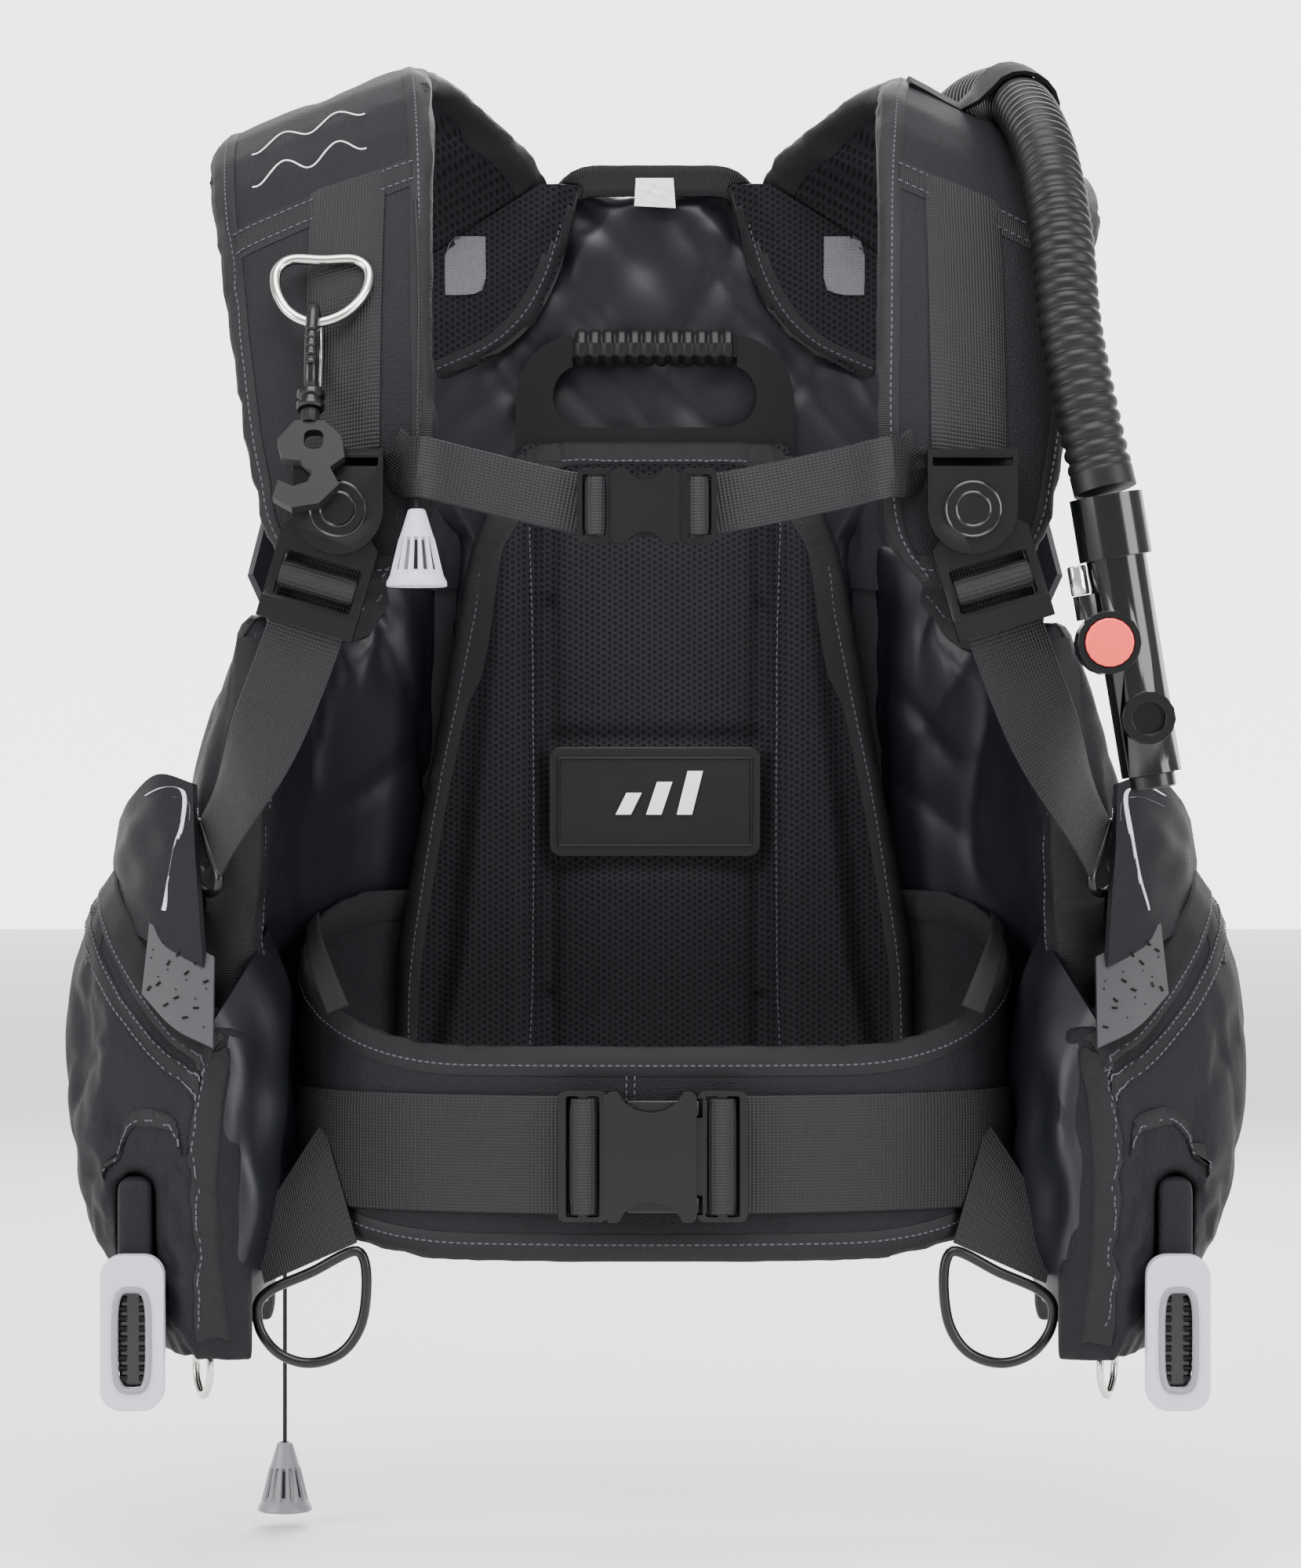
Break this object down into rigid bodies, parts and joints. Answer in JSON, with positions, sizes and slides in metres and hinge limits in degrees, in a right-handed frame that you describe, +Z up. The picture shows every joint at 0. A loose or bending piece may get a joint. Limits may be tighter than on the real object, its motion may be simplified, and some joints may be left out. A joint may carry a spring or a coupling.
{
  "type": "buoyancy compensator vest",
  "caption": "Diver's jacket-style buoyancy vest with tank plate, shoulder straps, release buckles, weight pockets and an inflator hose.",
  "frame": {"origin": "centre of the tank seat's flat rear face, on the vest's middle plane", "axes": "+Y out of the tank seat towards the tank, +Z up towards the collar, +X towards the wearer's left"},
  "size_m": [0.5136, 0.4729, 0.6625],
  "materials": {
    "nylon_fabric": "matt woven nylon",
    "spacer_mesh": "open spacer mesh",
    "webbing": "woven tape",
    "black_plastic": "satin moulding",
    "grey_plastic": "satin moulding",
    "red_plastic": "satin moulding",
    "rubber": "moulded rubber",
    "stainless_steel": "polished wire"
  },
  "bodies": {
    "vest": {"back_pad": "spacer_mesh", "backplate": "black_plastic", "bladder_back": "nylon_fabric", "cam_frame": "black_plastic", "chest_socket": "black_plastic", "cummerbund": "nylon_fabric", "handle_grip": "rubber", "hose_elbow": "black_plastic", "hose_flap": "rubber", "inflator_body": "black_plastic", "inflator_hose": "rubber", "left_bladder_lobe": "nylon_fabric", "left_buckle_frame": "black_plastic", "left_chest_web": "webbing", "left_lower_ring": "black_plastic", "left_lower_web": "webbing", "left_pocket": "nylon_fabric", "left_shoulder_strap": "nylon_fabric", "left_shoulder_web": "webbing", "left_waist_web": "webbing", "pad_patch": "rubber", "quick_connector": "stainless_steel", "rear_dump_valve": "black_plastic", "right_bladder_lobe": "nylon_fabric", "right_buckle_frame": "black_plastic", "right_chest_web": "webbing", "right_lower_ring": "black_plastic", "right_lower_web": "webbing", "right_pocket": "nylon_fabric", "right_shoulder_strap": "nylon_fabric", "right_shoulder_web": "webbing", "right_waist_web": "webbing", "shoulder_cord": "webbing", "tank_band": "webbing", "waist_socket": "black_plastic"},
    "chest_plug": {"chest_plug": "black_plastic"},
    "waist_plug": {"waist_plug": "black_plastic"},
    "waist_latch_upper": {"waist_latch_upper": "black_plastic"},
    "waist_latch_lower": {"waist_latch_lower": "black_plastic"},
    "left_buckle_lower": {"left_buckle_lower": "black_plastic"},
    "right_buckle_lower": {"right_buckle_lower": "black_plastic"},
    "chest_ring": {"chest_ring": "stainless_steel"},
    "snap_hook": {"snap_hook": "black_plastic"},
    "hose_clip": {"hose_clip": "black_plastic"},
    "left_pull_ring": {"left_pull_ring": "black_plastic"},
    "right_pull_ring": {"right_pull_ring": "black_plastic"},
    "left_pocket_ring": {"left_pocket_ring": "stainless_steel"},
    "right_pocket_ring": {"right_pocket_ring": "stainless_steel"},
    "left_weight_pouch": {"left_weight_pouch": "nylon_fabric", "left_weight_handle": "grey_plastic"},
    "right_weight_pouch": {"right_weight_pouch": "nylon_fabric", "right_weight_handle": "grey_plastic"},
    "left_zip_slider": {"left_zip_slider": "black_plastic"},
    "right_zip_slider": {"right_zip_slider": "black_plastic"},
    "inflate_button": {"inflate_button": "red_plastic"},
    "deflate_button": {"deflate_button": "black_plastic"},
    "shoulder_pull": {"shoulder_knob": "grey_plastic"},
    "rear_pull": {"rear_cord": "webbing", "rear_knob": "grey_plastic"},
    "cam_lever": {"cam_lever": "black_plastic"}
  },
  "joints": [
    {"name": "chest_release", "type": "slide", "parent": "vest", "child": "chest_plug", "axis": [1, 0, 0], "range_m": [0, 0.028], "deforming": ["left_chest_web"]},
    {"name": "waist_release", "type": "slide", "parent": "vest", "child": "waist_plug", "axis": [1, 0, 0], "range_m": [0, 0.036], "deforming": ["left_waist_web"]},
    {"name": "upper_latch_squeeze", "type": "hinge", "parent": "waist_plug", "child": "waist_latch_upper", "pos_m": [0.0159, -0.2046, -0.13655], "axis": [0, -1, 0], "range_deg": [0, 8], "stiffness_Nm_per_rad": 0.02, "springref_deg": -2.86},
    {"name": "lower_latch_squeeze", "type": "hinge", "parent": "waist_plug", "child": "waist_latch_lower", "pos_m": [0.0159, -0.2046, -0.17745], "axis": [0, 1, 0], "range_deg": [0, 8]},
    {"name": "left_buckle_swivel", "type": "hinge", "parent": "vest", "child": "left_buckle_lower", "pos_m": [0.1305, -0.25, 0.113], "axis": [0, -1, 0], "range_deg": [-8, 10], "deforming": ["left_lower_web"]},
    {"name": "left_pull_ring_swing", "type": "hinge", "parent": "vest", "child": "left_pull_ring", "pos_m": [0.148, -0.16725, -0.21], "axis": [-0.8989, -0.1236, 0.4203], "range_deg": [-2, 20]},
    {"name": "left_pocket_ring_swing", "type": "hinge", "parent": "vest", "child": "left_pocket_ring", "pos_m": [0.196, -0.15, -0.246], "axis": [0.3625, 0.932, 0], "range_deg": [-45, 45]},
    {"name": "left_pouch_pull", "type": "slide", "parent": "vest", "child": "left_weight_pouch", "axis": [0, -1, 0], "range_m": [0, 0.07]},
    {"name": "left_zip_pull", "type": "slide", "parent": "vest", "child": "left_zip_slider", "axis": [0, 1, 0], "range_m": [0, 0.035]},
    {"name": "right_buckle_swivel", "type": "hinge", "parent": "vest", "child": "right_buckle_lower", "pos_m": [-0.1305, -0.25, 0.113], "axis": [0, 1, 0], "range_deg": [-8, 10], "deforming": ["right_lower_web"]},
    {"name": "right_pull_ring_swing", "type": "hinge", "parent": "vest", "child": "right_pull_ring", "pos_m": [-0.148, -0.16725, -0.21], "axis": [-0.8989, 0.1236, -0.4203], "range_deg": [-2, 20]},
    {"name": "right_pocket_ring_swing", "type": "hinge", "parent": "vest", "child": "right_pocket_ring", "pos_m": [-0.196, -0.15, -0.246], "axis": [-0.3625, 0.932, 0], "range_deg": [-45, 45]},
    {"name": "right_pouch_pull", "type": "slide", "parent": "vest", "child": "right_weight_pouch", "axis": [0, -1, 0], "range_m": [0, 0.07]},
    {"name": "right_zip_pull", "type": "slide", "parent": "vest", "child": "right_zip_slider", "axis": [0, 1, 0], "range_m": [0, 0.035]},
    {"name": "chest_ring_swing", "type": "hinge", "parent": "vest", "child": "chest_ring", "pos_m": [-0.139, -0.22073, 0.21921], "axis": [-1, 0, 0], "range_deg": [0, 60]},
    {"name": "snap_hook_swing", "type": "hinge", "parent": "chest_ring", "child": "snap_hook", "pos_m": [-0.14306, -0.23519, 0.19154], "axis": [-1, 0, 0], "range_deg": [0, 50]},
    {"name": "hose_clip_swivel", "type": "hinge", "parent": "snap_hook", "child": "hose_clip", "pos_m": [-0.14306, -0.23519, 0.19154], "axis": [0, -0.4384, -0.8988], "range_deg": [-9, 12]},
    {"name": "inflate_press", "type": "slide", "parent": "vest", "child": "inflate_button", "axis": [0, 1, 0], "range_m": [0, 0.0022], "stiffness_N_per_m": 300, "springref_m": -0.001},
    {"name": "deflate_press", "type": "slide", "parent": "vest", "child": "deflate_button", "axis": [-0.1623, 0, 0.9867], "range_m": [0, 0.002], "stiffness_N_per_m": 300, "springref_m": -0.001},
    {"name": "shoulder_dump_pull", "type": "slide", "parent": "vest", "child": "shoulder_pull", "axis": [0, 0, -1], "range_m": [0, 0.01], "stiffness_N_per_m": 120, "springref_m": -0.008, "deforming": ["shoulder_cord"]},
    {"name": "rear_dump_pull", "type": "slide", "parent": "vest", "child": "rear_pull", "axis": [0, 0, -1], "range_m": [0, 0.01], "stiffness_N_per_m": 120, "springref_m": -0.008},
    {"name": "cam_lever_open", "type": "hinge", "parent": "vest", "child": "cam_lever", "pos_m": [-0.02, 0.1904, 0], "axis": [0, 0, 1], "range_deg": [0, 115]}
  ],
  "couplings": [
    {"joint": "lower_latch_squeeze", "follows": "upper_latch_squeeze", "ratio": 1}
  ]
}
